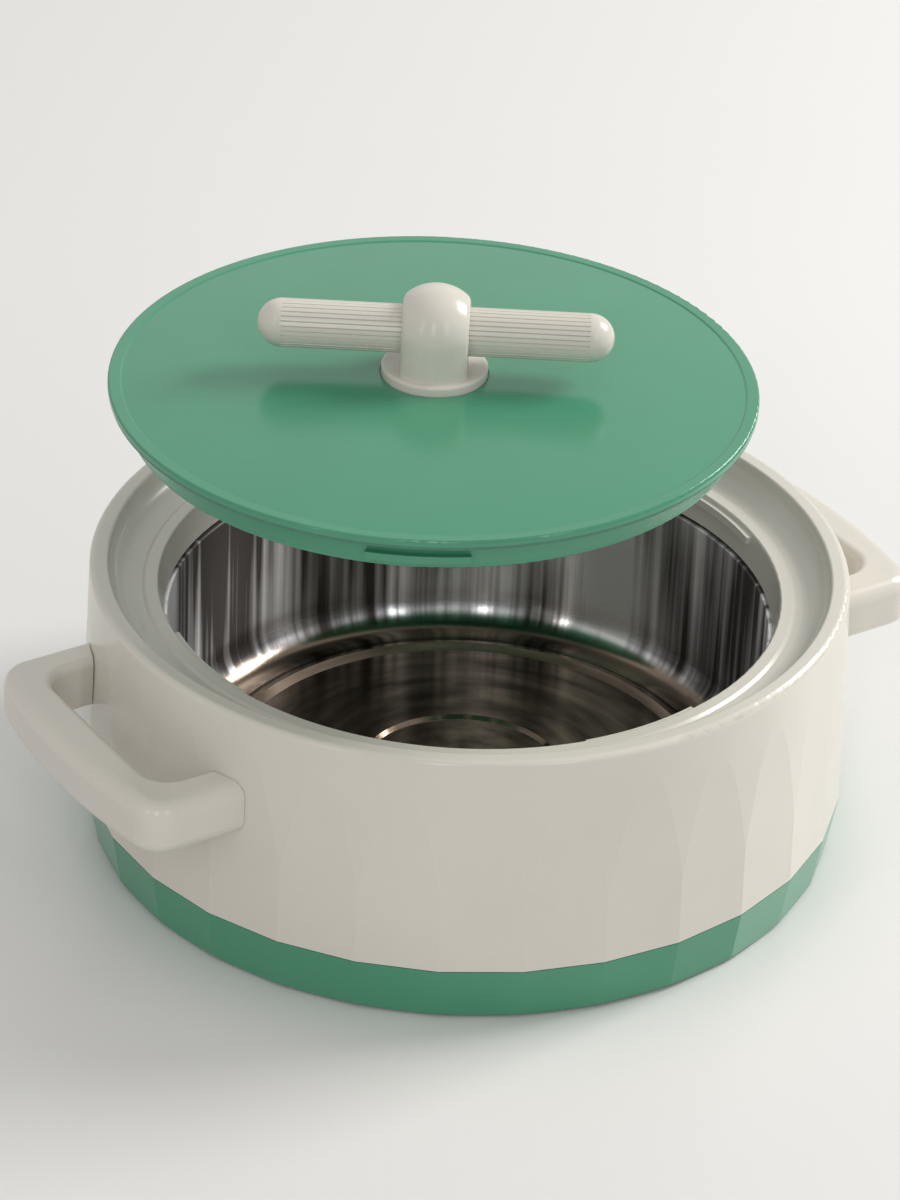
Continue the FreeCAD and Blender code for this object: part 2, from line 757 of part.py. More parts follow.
def make_handle(label, envelope, bores):
    """Bow-shaped grip on two legs that stand against the shell, on the +X side."""
    body = new_body(label + "_blank")
    root = head_seat
    half = S["handle_half_length"]
    inner_half = half - S["leg_width"]
    sagitta = S["handle_bow"]
    corner = handle_reach - sagitta
    bow = (half * half + sagitta * sagitta) / (sagitta * 2)
    grip_inner = handle_reach - S["grip_width"]
    corners = [
        (root, -half), (corner, -half), (corner, half),
        (root, half), (root, inner_half), (grip_inner, inner_half),
        (grip_inner, -inner_half), (root, -inner_half),
    ]
    sketch = outline(body, label + "_plan", "XY_Plane", corners, {1: -bow})
    pad(body, sketch, "Depth", S["handle_depth"], offset=S["handle_low"])
    low = number(S["handle_low"])
    high = low + number(S["handle_depth"])

    def upright_at(reach):
        def test(edge):
            box = edge.BoundBox
            return box.ZLength > high - low - 0.1 and abs(box.Center.x - number(reach)) < 0.1
        return test

    round_edges(body, "OuterCorners", S["handle_corner"], upright_at(corner))
    round_edges(body, "InnerCorners", S["opening_corner"], upright_at(grip_inner))

    def level(edge, height, inner_side):
        """Level edges of the outer side or of the finger opening, without those at the root."""
        box = edge.BoundBox
        if box.ZLength > 0.1 or abs(box.Center.z - height) > 0.1:
            return False
        if box.XLength < 0.1 and abs(box.Center.x - number(root)) < 0.1:
            return False
        beside_opening = (abs(box.Center.y) < number(inner_half) + 0.1
                          and box.XMax < number(grip_inner) + 0.1)
        return beside_opening == inner_side

    round_edges(body, "TopOuter", S["handle_top_round"], lambda e: level(e, high, False))
    round_edges(body, "UnderOuter", S["handle_under_round"], lambda e: level(e, low, False))
    round_edges(body, "TopInner", S["handle_inner_round"], lambda e: level(e, high, True))
    round_edges(body, "UnderInner", S["handle_inner_round"], lambda e: level(e, low, True))
    seated = boolean("Part::Cut", label + "_seated", body, envelope)
    return boolean("Part::Cut", label, seated, bores)


def mirror_handle(label, handle):
    """The same handle on the other side of the shell."""
    feature = doc.addObject("Part::Mirroring", label)
    feature.Label = label
    feature.Source = handle
    feature.Normal = FreeCAD.Vector(1, 0, 0)
    doc.recompute()
    return feature


def make_screw_group(label, places, length):
    """Identical screws, kept as separate solids of one node."""
    screws = []
    for index, place in enumerate(places):
        screws.append(screw_blank("%s_%d" % (label, index), S["screw_radius"], length,
                                  S["screw_head_radius"], S["screw_head"], place))
    group = doc.addObject("Part::Compound", label)
    group.Label = label
    group.Links = screws
    doc.recompute()
    return group


def make_lid_cover():
    """Crowned disc with a fine lip, a tapered skirt and the four lugs of the bayonet."""
    body = new_body("lid_cover")
    pocket_radius = S["disc_radius"] + S["disc_gap"]
    pocket_floor = S["crown_height"] - S["disc_pocket"]
    bore = S["stem_radius"] + S["stem_gap"]
    lip_inner = lid_radius - S["lip_width"]
    under = -S["flange_thickness"]
    skirt_foot = S["liner_thickness"] + S["slip_gap"] - S["skirt_depth"]
    skirt_top = skirt_radius(under)
    skirt_low = skirt_radius(skirt_foot)
    corners = [
        (bore, pocket_floor), (pocket_radius, pocket_floor), (pocket_radius, S["crown_height"]),
        (lip_inner - S["lip_height"] * 2, ZERO), (lip_inner, S["lip_height"]),
        (lid_radius, S["lip_height"]), (lid_radius, under),
        (skirt_top, under), (skirt_low, skirt_foot), (skirt_low - S["lid_wall"], skirt_foot),
        (skirt_top - S["lid_wall"], -S["lid_wall"]),
        (S["hub_radius"], S["crown_height"] - S["lid_wall"] * 1.4),
        (S["hub_radius"], pocket_floor - S["hub_length"]), (bore, pocket_floor - S["hub_length"]),
    ]
    revolve(body, outline(body, "lid_outline", "XZ_Plane", corners, {2: S["crown_radius"]}))
    edge_ring = ring_at(lid_radius, S["lip_height"])
    round_edges(body, "LidEdge", S["lid_edge_round"], edge_ring)
    root = S["lid_wall"] / 2
    reach = S["skirt_gap"] - S["lug_gap"]
    lug = outline(body, "lug_outline", "XZ_Plane", [
        (skirt_radius(lug_top) + reach, lug_top),
        (skirt_radius(lug_top) - root, lug_top),
        (skirt_radius(lug_foot) - root, lug_foot),
        (skirt_radius(lug_foot) + reach, lug_foot),
    ])
    lug_turned = revolve(body, lug, "Lug", angle=S["lug_span"])
    repeat(body, [lug_turned], "Lugs", S["lug_count"])
    body.Placement = lid_place
    return body


def make_lid_liner():
    """Plate that closes the lid's foam from below, its spigot pressed inside the skirt."""
    body = new_body("lid_liner")
    top = S["liner_thickness"] - S["skirt_depth"]
    foot = -S["skirt_depth"]
    edge = skirt_radius(foot)
    spigot = skirt_radius(top) - S["lid_wall"] - S["fit_gap"]
    inner = spigot - S["liner_wall"]
    dish = inner - S["liner_dish"]
    corners = [
        (ZERO, foot + S["liner_dish"]), (dish, foot + S["liner_dish"]), (inner, foot),
        (edge, foot), (edge, top), (spigot, top), (spigot, top + S["liner_spigot"]),
        (inner, top + S["liner_spigot"]), (inner, top),
        (dish, top + S["liner_dish"]), (ZERO, top + S["liner_dish"]),
    ]
    revolve(body, outline(body, "liner_outline", "XZ_Plane", corners))
    round_edges(body, "LinerEdge", S["lid_edge_round"] / 2, ring_at(edge, foot))
    body.Placement = lid_place
    return body


def make_lid_foam():
    """Foam disc between the lid's cover and its liner, hollow round the knob's fastening."""
    body = new_body("lid_foam")
    gap = S["fit_gap"]
    low = S["liner_thickness"] - S["skirt_depth"] + S["liner_dish"] + gap
    high = -S["lid_wall"] - gap
    hollow = S["hub_radius"] + gap
    outer = skirt_radius(low) - S["lid_wall"] - S["liner_wall"] - gap * 4
    corners = [
        (hollow, low), (outer - S["liner_dish"], low), (outer, high), (hollow, high),
    ]
    revolve(body, outline(body, "lid_foam_outline", "XZ_Plane", corners))
    body.Placement = lid_place
    return body


def make_lid_seal():
    """Flat silicone ring under the lid's edge; it stays still while the lid turns above it."""
    body = new_body("lid_seal")
    high = -S["flange_thickness"] - S["slip_gap"]
    low = high - S["seal_thickness"]
    inner = skirt_radius(high) + S["fit_gap"]
    corners = [(inner, low), (inner + S["seal_width"], low),
               (inner + S["seal_width"], high), (inner, high)]
    revolve(body, outline(body, "seal_outline", "XZ_Plane", corners))
    body.Placement = lid_place
    return body


disc_top = S["crown_height"] + S["disc_height"]
bar_axis = disc_top + S["bar_height"]


def make_knob_post():
    """Round foot and domed post in one moulding, cut flat on both sides, bored for the bar."""
    body = new_body("knob_post")
    foot = S["crown_height"] - S["disc_pocket"]
    corners = [
        (ZERO, foot - S["stem_length"]), (S["stem_radius"], foot - S["stem_length"]),
        (S["stem_radius"], foot), (S["disc_radius"], foot), (S["disc_radius"], disc_top),
        (S["post_radius"], disc_top), (S["post_radius"], bar_axis),
        (ZERO, bar_axis + S["post_radius"]),
    ]
    revolve(body, outline(body, "post_outline", "XZ_Plane", corners, {6: -S["post_radius"]}))
    round_edges(body, "DiscEdge", S["disc_round"], ring_at(S["disc_radius"], disc_top))
    half = S["post_width"] / 2
    far = S["disc_radius"] * 1.2
    top = bar_axis + S["post_radius"] * 1.2
    for name, sign in (("FlatRight", 1), ("FlatLeft", -1)):
        near_edge = half if sign > 0 else -half
        far_edge = far if sign > 0 else -far
        flat = outline(body, name + "_outline", "XZ_Plane", [
            (near_edge, disc_top), (far_edge, disc_top), (far_edge, top), (near_edge, top)])
        pocket(body, flat, name, S["disc_radius"] * 3)
    limit = number(half)
    height = number(disc_top)

    def flat_side_edge(edge):
        box = edge.BoundBox
        return (box.XLength < 0.05 and abs(abs(box.Center.x) - limit) < 0.05
                and box.ZMax > height + 1)

    round_edges(body, "PostSides", S["post_round"], flat_side_edge)
    cross = body.newObject("Sketcher::SketchObject", "cross_bore_outline")
    cross.AttachmentSupport = [(origin_feature(body, "YZ_Plane"), "")]
    cross.MapMode = "FlatFace"
    bore = S["bar_radius"] + S["screw_play"]
    cross.addGeometry(Part.Circle(FreeCAD.Vector(0, number(bar_axis), 0),
                                  FreeCAD.Vector(0, 0, 1), number(bore)), False)
    cross.addConstraint(Sketcher.Constraint("PointOnObject", 0, 3, -2))
    height_pin = cross.addConstraint(
        Sketcher.Constraint("DistanceY", -1, 1, 0, 3, number(bar_axis)))
    cross.setExpression("Constraints[%d]" % height_pin, bar_axis.text)
    bore_pin = cross.addConstraint(Sketcher.Constraint("Radius", 0, number(bore)))
    cross.setExpression("Constraints[%d]" % bore_pin, bore.text)
    pocket(body, cross, "CrossBore", S["post_width"] * 2)
    screw_bore = S["knob_screw_radius"] + S["screw_play"]
    hole = outline(body, "screw_bore_outline", "XZ_Plane", [
        (ZERO, foot - S["stem_length"] * 2), (screw_bore, foot - S["stem_length"] * 2),
        (screw_bore, bar_axis), (ZERO, bar_axis)])
    groove(body, hole, "ScrewBore")
    body.Placement = lid_place
    return body


def make_knob_bar():
    """Fluted grip bar with smooth domed ends, held in the post by the screw from below."""
    body = new_body("knob_bar")
    half = S["bar_length"] / 2
    shoulder = half - S["dome_length"]
    radius = S["bar_radius"]
    corners = [
        (-half, ZERO), (-shoulder, radius), (shoulder, radius), (half, ZERO),
    ]
    sketch = outline(body, "bar_outline", "XY_Plane", corners,
                     {0: S["dome_length"], 2: S["dome_length"]})
    revolve(body, sketch, "Turned", axis="H_Axis")
    depth = radius - S["flute_depth"]
    flute = outline(body, "flute_outline", "YZ_Plane", [
        (-S["flute_width"] / 2, radius + S["flute_depth"]), (ZERO, depth),
        (S["flute_width"] / 2, radius + S["flute_depth"])])
    cut = pocket(body, flute, "Flute", shoulder * 2)
    repeat(body, [cut], "Flutes", S["flute_count"], role="X_Axis")
    tap = S["knob_screw_radius"] + S["screw_play"]
    hole = outline(body, "tap_outline", "XZ_Plane", [
        (-tap, -radius * 1.2), (tap, -radius * 1.2), (tap, radius / 2), (-tap, radius / 2)])
    pocket(body, hole, "Tap", tap * 2)
    rise = FreeCAD.Placement(FreeCAD.Vector(0, 0, number(bar_axis)), FreeCAD.Rotation())
    body.Placement = lid_place.multiply(rise)
    return body


def make_knob_washer():
    """Washer that spreads the knob screw's load on the cover's hub."""
    body = new_body("knob_washer")
    seat = S["crown_height"] - S["disc_pocket"] - S["stem_length"] - S["slip_gap"]
    hole = S["knob_screw_radius"] + S["stem_gap"]
    corners = [
        (hole, seat - S["washer_thickness"]), (S["washer_radius"], seat - S["washer_thickness"]),
        (S["washer_radius"], seat), (hole, seat)]
    revolve(body, outline(body, "washer_outline", "XZ_Plane", corners))
    body.Placement = lid_place
    return body


def make_knob_screw():
    """Screw from below through washer and post into the bar."""
    seat = (S["crown_height"] - S["disc_pocket"] - S["stem_length"] - S["slip_gap"] * 2
            - S["washer_thickness"])
    rise = FreeCAD.Placement(FreeCAD.Vector(0, 0, number(seat)), FreeCAD.Rotation())
    return screw_blank("knob_screw", S["knob_screw_radius"], S["knob_screw_length"],
                       S["knob_screw_radius"] * 1.8, S["knob_screw_radius"],
                       lid_place.multiply(rise))


def check_document():
    """Stop where a feature failed."""
    for item in doc.Objects:
        if "Invalid" in item.State or "Error" in item.State:
            raise RuntimeError("%s is in state %s" % (item.Label, item.State))


def main():
    envelope = make_envelope()
    handle_bores = join("handle_bores", [
        cylinder("leg_bore_%d" % index, S["screw_radius"] + S["screw_play"],
                 S["handle_screw_length"] + S["fit_gap"], place)
        for index, place in enumerate(handle_screw_places())])
    handle_right = make_handle("handle_right", envelope, handle_bores)
    pieces = [
        make_outer_shell(),
        make_base_cover(),
        make_inner_bowl(),
        make_bowl_gasket(),
        make_body_foam(),
        handle_right,
        mirror_handle("handle_left", handle_right),
        make_screw_group("handle_screws", handle_screw_places(), S["handle_screw_length"]),
        make_screw_group("base_screws", base_screw_places(), S["base_screw_length"]),
        make_lid_cover(),
        make_lid_liner(),
        make_lid_foam(),
        make_lid_seal(),
        make_knob_post(),
        make_knob_bar(),
        make_knob_washer(),
        make_knob_screw(),
    ]
    doc.recompute()
    check_document()
    for piece in pieces:
        shape = piece.Shape
        if shape.isNull() or not shape.isValid() or not shape.Solids:
            raise RuntimeError("%s has no valid solid" % piece.Label)
    os.makedirs("parts", exist_ok=True)
    for piece in pieces:
        piece.Shape.exportStep("parts/%s.step" % piece.Label)
        box = piece.Shape.BoundBox
        print("%-14s solids %d volume %9.1f z %.2f to %.2f" % (
            piece.Label, len(piece.Shape.Solids), piece.Shape.Volume, box.ZMin, box.ZMax))


main()
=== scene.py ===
"""Dresses the insulated serving casserole: surfaces, soft studio light and the camera."""
import math

import bmesh
import bpy
from bpy.props import FloatProperty, FloatVectorProperty, PointerProperty
from mathutils import Matrix, Vector


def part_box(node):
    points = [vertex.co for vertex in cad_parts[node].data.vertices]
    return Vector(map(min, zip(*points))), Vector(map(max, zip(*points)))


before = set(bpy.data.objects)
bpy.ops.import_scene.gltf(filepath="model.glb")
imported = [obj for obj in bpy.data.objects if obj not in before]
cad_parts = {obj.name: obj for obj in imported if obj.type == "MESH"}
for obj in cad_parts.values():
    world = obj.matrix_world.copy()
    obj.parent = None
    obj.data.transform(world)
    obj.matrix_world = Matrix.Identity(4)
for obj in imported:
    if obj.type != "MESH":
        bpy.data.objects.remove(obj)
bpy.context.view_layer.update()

bl_info = {
    "name": "Insulated Casserole",
    "version": (1, 0, 0),
    "blender": (4, 5, 0),
    "location": "View3D > Sidebar > Casserole",
    "description": "Finishes the pieces of an insulated serving casserole and lights them",
    "category": "Object",
}

# The camera, fitted to the photograph, in metres and radians
VIEW_TURN = math.radians(-34.0)  # from the model's +Y to the way the camera looks
PHOTO_HEIGHT = 1200
LENS_PIXELS = 4500.0
SENSOR = 36.0  # millimetres
CAMERA_PITCH = 0.535025762
CAMERA_YAW = 0.00478767757
CAMERA_ROLL = -0.0407769429
CAMERA_BACK = 1.33265726
CAMERA_HEIGHT = 0.872831576

# Moulded plastic. Patterns are counted per metre.
TONE_FROM, TONE_TO = 0.3, 0.7  # noise that gives the darker and the full tone
CLOUD_DETAIL = 4.0
SCUFFS = 60.0  # patches of uneven gloss
SCUFF_ROUGHNESS = 0.06
WAVES = 18.0  # slow waves in the surface
WAVE_BUMP = 0.2
WAVE_DEPTH = 0.0005
PLASTIC_COAT = 0.1
PLASTIC_COAT_ROUGHNESS = 0.1
PLASTIC_IOR = 1.47
CREAM_ROUGHNESS, CREAM_MOTTLE = 0.2, 0.03
GREEN_ROUGHNESS, GREEN_MOTTLE = 0.17, 0.04

# The bowl's steel, with painted reflections in its colour. Heights stand above the bowl's lowest
# point.
FLOOR_STEEL_FROM = 0.003  # where the floor's polish and its painted dark reflection end
FLOOR_STEEL_TO = 0.0055
CORNER_STEEL_FROM = 0.007  # where the corner's brighter polish ends
CORNER_STEEL_TO = 0.017
# Its patterns: how ragged, how many lines across, how often they break along their length.
# Lines and breaks are counted per metre of height or radius, or per radian round the bowl.
BRUSHED_RAGGED, BRUSHED_BREAKS = 0.7, 4.0
TURNED_RAGGED, TURNED_BREAKS = 0.7, 2.0
# The wide and narrow streaks are painted reflections, upright light and dark bands in the wall's
# colour.
WIDE_RAGGED, WIDE_STREAKS, WIDE_BREAKS = 0.4, 3.4, 6.0
NARROW_RAGGED, NARROW_STREAKS, NARROW_BREAKS = 0.5, 22.0, 3.0
# The rings on the floor are painted bright reflections.
RING_RAGGED, RING_LINES, RING_BREAKS = 0.5, 130.0, 1.6
WIDE_SHARE = 0.62  # of the wall's painted reflection streaks, and the narrow ones are the rest
STREAKS_FROM, STREAKS_TO = 0.42, 0.56  # noise that gives the darkest and brightest painted reflection streak
# noise that gives the floor's darkest and brightest painted reflection ring
RINGS_FROM, RINGS_TO = 0.35, 0.68
REFLECTION_RING_BRIGHTNESS = 3.2  # a painted bright reflection ring against the floor's painted dark reflection
STEEL_ROUGHNESS = 0.4
CORNER_GLOSS = 0.22  # taken off the roughness in the corner and on the floor
FLOOR_GLOSS = 0.08  # taken off again on the floor
LINE_ROUGHNESS = 0.06  # added by the fine lines
STEEL_STRETCH = 0.9  # how far the brushing draws out a reflection
STEEL_STRETCH_TURN = 0.25  # of a full turn, which draws it out upwards on the wall
STEEL_BUMP = 0.4
STEEL_BUMP_DEPTH = 0.00004

# Rubber, silicone, foam and screws
GRAIN_TONE = 0.85  # the darkest grain against the colour
GRAIN_BUMP = 0.3
FINE_GRAIN, FINE_GRAIN_DEPTH = 300.0, 0.0001
FOAM_CELLS, FOAM_CELL_DEPTH = 700.0, 0.0005
RUBBER_ROUGHNESS = 0.6
SILICONE_ROUGHNESS = 0.45
FOAM_ROUGHNESS = 0.9
SCREW_ROUGHNESS = 0.3

# The Mix node names its number and colour sockets alike, so they are told apart by place
MIX_NUMBERS = (2, 3)
MIX_COLOURS = (6, 7)
MIX_COLOUR_RESULT = 2

# The stage
FLOOR_HALF = 6.0
FLOOR_DROP = 0.0002  # keeps the floor apart from the foot that stands on it
FLOOR_CLOUDS = 3.0  # per metre
FLOOR_MOTTLE = 0.97
FLOOR_ROUGHNESS = 0.35
SKY_COLOUR = (1.0, 0.985, 0.965, 1.0)
SKY_STRENGTH = 0.56
# Lamps: name, place, aim, size, watts, colour. Places and aims turn with the view.
LAMPS = (
    ("key", (1.5, 0.7, 1.3), (0.0, 0.0, 0.05), (0.8, 0.8), 30.0, (1.0, 0.98, 0.95)),
    ("window", (-0.2, 2.2, 1.3), (0.0, 0.0, 0.1), (2.4, 1.2), 2.5, (1.0, 1.0, 1.0)),
)
# Tall lamps behind the camera: name, degrees from the view's axis, width, watts, colour
FRONT_STRIPS = (
    ("strip_left", -38.0, 0.12, 3.0, (1.0, 0.97, 0.93)),
    ("strip_middle", -6.0, 0.16, 4.8, (0.95, 0.98, 1.0)),
    ("strip_right", 30.0, 0.12, 3.6, (0.95, 0.98, 1.0)),
)
STRIP_REACH = 2.2
STRIP_HEIGHT = 1.35
STRIP_LENGTH = 1.3
STRIP_AIM = (0.0, 0.0, 0.08)


class CasseroleSizes(bpy.types.PropertyGroup):
    """Sizes of the finish that the CAD pieces don't carry."""

    cloud_width: FloatProperty(
        name="Cloud width", description="Width of the faint clouds in the plastic's tone",
        default=0.03, unit="LENGTH")
    brushed_lines: FloatProperty(
        name="Brushed lines", description="Lines round the bowl's wall, per metre of its height",
        default=4000.0)
    turned_lines: FloatProperty(
        name="Turned lines", description="Lines round the bowl's floor, per metre of its radius",
        default=2600.0)


class CasseroleColours(bpy.types.PropertyGroup):
    """Colours of the pieces and the floor, as linear RGB."""

    cream: FloatVectorProperty(
        name="Cream", description="Shell, handles and knob", subtype="COLOR", size=3,
        default=(0.70, 0.665, 0.60), min=0.0, max=1.0)
    green: FloatVectorProperty(
        name="Green", description="Lid and base", subtype="COLOR", size=3,
        default=(0.068, 0.295, 0.172), min=0.0, max=1.0)
    # Steel and dark steel are painted reflections: the bright and the dark upright streaks on the
    # bowl's wall.
    steel: FloatVectorProperty(
        name="Steel", description="Bright streaks of the bowl's wall", subtype="COLOR", size=3,
        default=(0.97, 0.97, 0.98), min=0.0, max=1.0)
    steel_painted_dark_reflection: FloatVectorProperty(
        name="Dark steel", description="Dark streaks of the bowl's wall", subtype="COLOR",
        size=3, default=(0.085, 0.075, 0.07), min=0.0, max=1.0)
    # Painted dark reflection of the bowl's polished floor.
    floor_painted_dark_reflection: FloatVectorProperty(
        name="Floor steel", description="Polished floor of the bowl", subtype="COLOR", size=3,
        default=(0.105, 0.082, 0.064), min=0.0, max=1.0)
    gasket: FloatVectorProperty(
        name="Gasket", description="Ring between the collar and the bowl", subtype="COLOR",
        size=3, default=(0.03, 0.026, 0.024), min=0.0, max=1.0)
    # Painted shade: a darker copy of the lid's green, for the shaded gap under the lid's edge.
    seal: FloatVectorProperty(
        name="Seal", description="Ring under the lid's edge", subtype="COLOR", size=3,
        default=(0.07, 0.22, 0.14), min=0.0, max=1.0)
    foam: FloatVectorProperty(
        name="Foam", description="Insulation in the body and the lid", subtype="COLOR", size=3,
        default=(0.72, 0.63, 0.40), min=0.0, max=1.0)
    screws: FloatVectorProperty(
        name="Screws", description="Screws and the knob's washer", subtype="COLOR", size=3,
        default=(0.55, 0.55, 0.56), min=0.0, max=1.0)
    floor: FloatVectorProperty(
        name="Floor", description="Floor that the casserole stands on", subtype="COLOR",
        size=3, default=(0.80, 0.80, 0.79), min=0.0, max=1.0)


class Value:
    """A node socket with arithmetic, so that a mask can be written as an expression."""

    def __init__(self, finish, socket):
        self.finish = finish
        self.socket = socket

    def _math(self, operation, *values):
        return self.finish.add("ShaderNodeMath", {"operation": operation}, values)

    def __add__(self, other):
        return self._math("ADD", self, other)

    __radd__ = __add__

    def __sub__(self, other):
        return self._math("SUBTRACT", self, other)

    def __rsub__(self, other):
        return self._math("SUBTRACT", other, self)

    def __mul__(self, other):
        return self._math("MULTIPLY", self, other)

    __rmul__ = __mul__

    def length_with(self, other):
        return self._math("SQRT", self * self + other * other)

    def angle_from(self, other):
        """The angle of the point (other, self) about the origin."""
        return self._math("ARCTAN2", self, other)

    def clamped(self, low, high):
        """0 up to low, 1 from high on, and a straight rise between them."""
        return self.finish.add("ShaderNodeMapRange", {"clamp": True}, {
            "Value": self, "From Min": low, "From Max": high})


class Finish:
    """One material: a Principled shader and the nodes that feed it."""

    def __init__(self, name):
        self.material = bpy.data.materials.new(name)
        self.material.use_nodes = True
        self.tree = self.material.node_tree
        self.shader = self.tree.nodes["Principled BSDF"]

    def add(self, kind, settings, inputs, output=0):
        """Add a node: its settings first, then the values or links of its sockets."""
        node = self.tree.nodes.new(kind)
        for key, setting in settings.items():
            setattr(node, key, setting)
        named = inputs.items() if isinstance(inputs, dict) else enumerate(inputs)
        for key, source in named:
            self.feed(node.inputs[key], source)
        return Value(self, node.outputs[output])

    def feed(self, socket, source):
        if isinstance(source, Value):
            self.tree.links.new(source.socket, socket)
        else:
            socket.default_value = source

    def set(self, **sockets):
        """Feed the shader's own sockets, with _ for the spaces in their names."""
        for name, source in sockets.items():
            self.feed(self.shader.inputs[name.replace("_", " ")], source)

    def place(self):
        """The point in the object's own frame, and its X, Y and Z in metres."""
        where = self.add("ShaderNodeTexCoord", {}, {}, "Object")
        parts = self.add("ShaderNodeSeparateXYZ", {}, {"Vector": where}).socket.node
        return where, [Value(self, part) for part in parts.outputs]

    def noise(self, where, scale, detail=3.0, roughness=0.5):
        return self.add("ShaderNodeTexNoise", {}, {
            "Vector": where, "Scale": scale, "Detail": detail, "Roughness": roughness})

    def blend(self, mask, low, high):
        """A colour between two others."""
        ends = [end if isinstance(end, Value) else (*end, 1.0) for end in (low, high)]
        return self.add("ShaderNodeMix", {"data_type": "RGBA"}, {
            "Factor": mask, **dict(zip(MIX_COLOURS, ends))}, MIX_COLOUR_RESULT)

    def mix(self, mask, low, high):
        """A number between two others."""
        return self.add("ShaderNodeMix", {"data_type": "FLOAT"}, {
            "Factor": mask, **dict(zip(MIX_NUMBERS, (low, high)))})

    def bump(self, height, strength, distance):
        self.set(Normal=self.add("ShaderNodeBump", {}, {
            "Height": height, "Strength": strength, "Distance": distance}))
        return self


def shade(colour, factor):
    return tuple(min(1.0, channel * factor) for channel in colour)


def moulded_plastic(name, colour, roughness, mottle, sizes):
    """Glossy moulded plastic: a faintly cloudy tone, uneven gloss, slow waves in the surface."""
    finish = Finish(name)
    where, _ = finish.place()
    cloud = finish.noise(where, 1.0 / sizes.cloud_width, CLOUD_DETAIL)
    tone = finish.blend(cloud.clamped(TONE_FROM, TONE_TO), shade(colour, 1.0 - mottle), colour)
    scuff = finish.noise(where, SCUFFS)
    wave = finish.noise(where, WAVES, 0.0)
    finish.set(Base_Color=tone, Roughness=roughness + scuff * SCUFF_ROUGHNESS)
    finish.set(Coat_Weight=PLASTIC_COAT, Coat_Roughness=PLASTIC_COAT_ROUGHNESS, IOR=PLASTIC_IOR)
    return finish.bump(wave, WAVE_BUMP, WAVE_DEPTH)


def bowl_steel(sizes, colours):
    """Brushed round the wall and polished on the floor, with painted reflections in the colour:
    upright light and dark streaks on the wall, a dark floor with bright rings.
    """
    finish = Finish("bowl_steel")
    _, (x, y, z) = finish.place()
    radius = x.length_with(y)
    turn = y.angle_from(x)
    low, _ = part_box("inner_bowl")
    on_floor = 1.0 - z.clamped(low.z + FLOOR_STEEL_FROM, low.z + FLOOR_STEEL_TO)
    in_corner = 1.0 - z.clamped(low.z + CORNER_STEEL_FROM, low.z + CORNER_STEEL_TO)

    def lines(ragged, across, along):
        drawn_out = finish.add("ShaderNodeCombineXYZ", {}, {"X": across, "Z": along})
        return finish.noise(drawn_out, 1.0, roughness=ragged)

    brushed = lines(BRUSHED_RAGGED, z * sizes.brushed_lines, turn * BRUSHED_BREAKS)
    turned = lines(TURNED_RAGGED, radius * sizes.turned_lines, turn * TURNED_BREAKS)
    fine_lines = finish.mix(on_floor, brushed, turned)
    # Painted reflections: wide and narrow upright streaks that blend the wall's colour from dark to
    # bright steel.
    wide = lines(WIDE_RAGGED, turn * WIDE_STREAKS, z * WIDE_BREAKS)
    narrow = lines(NARROW_RAGGED, turn * NARROW_STREAKS, z * NARROW_BREAKS)
    streaks = (wide * WIDE_SHARE + narrow * (1.0 - WIDE_SHARE)).clamped(STREAKS_FROM, STREAKS_TO)
    wall = finish.blend(streaks, colours.steel_painted_dark_reflection, colours.steel)
    # Painted bright reflection rings over the floor's painted dark reflection.
    painted_reflection_rings = lines(RING_RAGGED, radius * RING_LINES, turn * RING_BREAKS)
    floor = finish.blend(painted_reflection_rings.clamped(RINGS_FROM, RINGS_TO), colours.floor_painted_dark_reflection,
                         shade(colours.floor_painted_dark_reflection, REFLECTION_RING_BRIGHTNESS))
    gloss = in_corner * CORNER_GLOSS + on_floor * FLOOR_GLOSS
    # The base colour is painted reflections: streaks on the wall, a dark reflection with bright
    # rings on the floor.
    finish.set(Base_Color=finish.blend(on_floor, wall, floor), Metallic=1.0)
    finish.set(Roughness=STEEL_ROUGHNESS - gloss + fine_lines * LINE_ROUGHNESS)
    finish.set(Anisotropic=STEEL_STRETCH, Anisotropic_Rotation=STEEL_STRETCH_TURN)
    return finish.bump(fine_lines, STEEL_BUMP, STEEL_BUMP_DEPTH)


def plain(name, colour, roughness, metallic=0.0, grain=FINE_GRAIN, depth=FINE_GRAIN_DEPTH):
    """Small parts: a fine grain in tone and surface over one colour."""
    finish = Finish(name)
    where, _ = finish.place()
    grains = finish.noise(where, grain)
    tone = finish.blend(grains.clamped(TONE_FROM, TONE_TO), shade(colour, GRAIN_TONE), colour)
    finish.set(Base_Color=tone, Roughness=roughness, Metallic=metallic)
    return finish.bump(grains, GRAIN_BUMP, depth)


def finish_nodes(nodes, finish):
    """Give CAD nodes their material. Their meshes stay as they are."""
    for node in nodes:
        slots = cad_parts[node].data.materials
        slots.clear()
        slots.append(finish.material)


class PieceOperator(bpy.types.Operator):
    """Base of the operators below, with the settings that they share."""

    bl_options = {"REGISTER", "UNDO"}

    @property
    def sizes(self):
        return bpy.context.scene.casserole_sizes

    @property
    def colours(self):
        return bpy.context.scene.casserole_colours

    def cream(self, name):
        return moulded_plastic(
            name, self.colours.cream, CREAM_ROUGHNESS, CREAM_MOTTLE, self.sizes)

    def green(self, name):
        return moulded_plastic(
            name, self.colours.green, GREEN_ROUGHNESS, GREEN_MOTTLE, self.sizes)


class CASSEROLE_OT_shell(PieceOperator):
    """Finish the cream shell and its two handles"""

    bl_idname = "casserole.shell"
    bl_label = "Shell and handles"

    def execute(self, context):
        finish_nodes(["outer_shell"], self.cream("cream_shell"))
        finish_nodes(["handle_left", "handle_right"], self.cream("cream_handles"))
        return {"FINISHED"}


